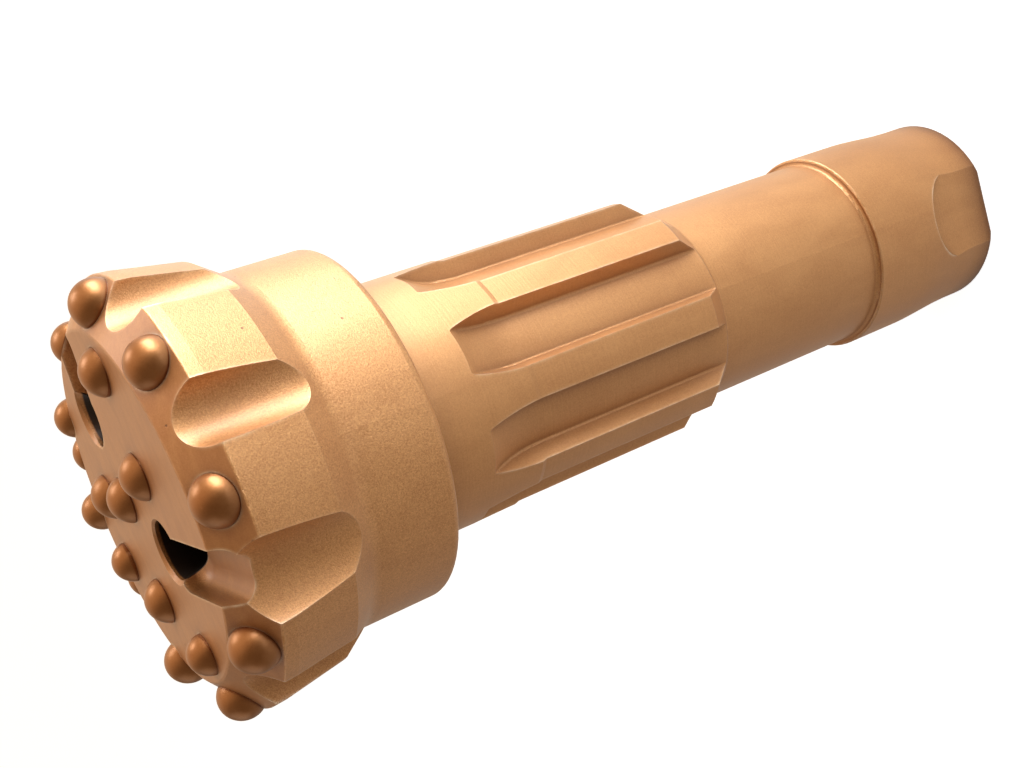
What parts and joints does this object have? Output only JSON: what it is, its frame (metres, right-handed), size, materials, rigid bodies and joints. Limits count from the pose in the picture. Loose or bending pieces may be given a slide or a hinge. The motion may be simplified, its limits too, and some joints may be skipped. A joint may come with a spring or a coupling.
{
  "type": "button drill bit",
  "caption": "Down-the-hole hammer bit: domed carbide buttons in a fluted head, flushing bores with face grooves, skirt, splined shank, retaining neck and a tail guide.",
  "frame": {"origin": "centre of the striking face at the tail", "axes": "+Z along the bit's axis from the striking face to the head, +X through the side of the head between the first gauge button and the first flute"},
  "size_m": [0.1146, 0.1156, 0.2889],
  "materials": {
    "body_coating": "satin bronze coating over machined alloy steel",
    "button_coating": "the same satin bronze coating over ground tungsten carbide"
  },
  "bodies": {
    "root": {"bit_body": "body_coating", "gauge_button_1": "button_coating", "gauge_button_2": "button_coating", "gauge_button_3": "button_coating", "gauge_button_4": "button_coating", "gauge_button_5": "button_coating", "gauge_button_6": "button_coating", "face_button_1": "button_coating", "face_button_2": "button_coating", "face_button_3": "button_coating", "face_button_4": "button_coating", "face_button_5": "button_coating", "small_button_1": "button_coating", "small_button_2": "button_coating", "small_button_3": "button_coating", "small_button_4": "button_coating", "small_button_5": "button_coating", "small_button_6": "button_coating", "small_button_7": "button_coating"}
  },
  "joints": []
}
